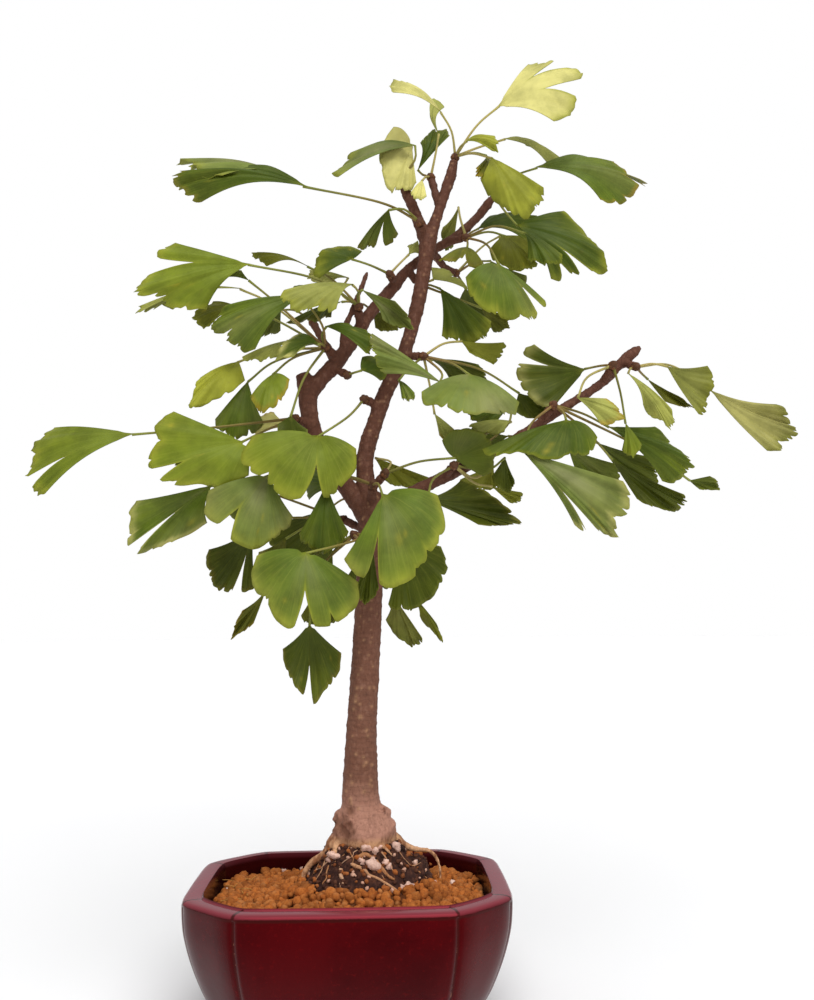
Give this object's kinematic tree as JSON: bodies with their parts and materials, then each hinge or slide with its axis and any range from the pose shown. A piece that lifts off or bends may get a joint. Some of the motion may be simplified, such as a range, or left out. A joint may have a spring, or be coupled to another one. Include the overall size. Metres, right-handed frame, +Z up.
{
  "type": "potted ginkgo bonsai",
  "caption": "Potted ginkgo bonsai: an upright trunk with forked leader, fan-shaped leaves in sprays, root mound and granule soil in an eight-sided glazed pot.",
  "frame": {"origin": "on the ground, under the middle of the whole object's box in x and y", "axes": "+Z up along the tree, +X to the right of the pictured front, +Y away from it"},
  "size_m": [0.4838, 0.1608, 0.5756],
  "materials": {
    "glaze": "glossy oxblood glaze breaking brown on the edges",
    "granules": "matte baked-clay granules",
    "peat": "matte dark peaty soil with pale pumice",
    "bark": "matte reddish-brown bark",
    "leaf": "satin green leaf"
  },
  "bodies": {
    "root": {"pot": "glaze", "root_mound": "peat", "soil": "granules", "spray_back_branch": "leaf", "spray_back_left": "leaf", "spray_back_low": "leaf", "spray_back_right": "leaf", "spray_back_upper": "leaf", "spray_behind_leader": "leaf", "spray_branch_middle": "leaf", "spray_branch_near": "leaf", "spray_branch_outer": "leaf", "spray_branch_tip": "leaf", "spray_crown": "leaf", "spray_elbow": "leaf", "spray_fork_right": "leaf", "spray_front": "leaf", "spray_leader_side": "leaf", "spray_left_branch": "leaf", "spray_left_spur": "leaf", "spray_left_tip": "leaf", "spray_left_upper": "leaf", "spray_low_front": "leaf", "spray_low_left": "leaf", "spray_low_right": "leaf", "spray_low_spur": "leaf", "spray_middle": "leaf", "spray_right_bud": "leaf", "spray_right_fork": "leaf", "spray_right_spur": "leaf", "spray_top": "leaf", "tree_wood": "bark"}
  },
  "joints": []
}
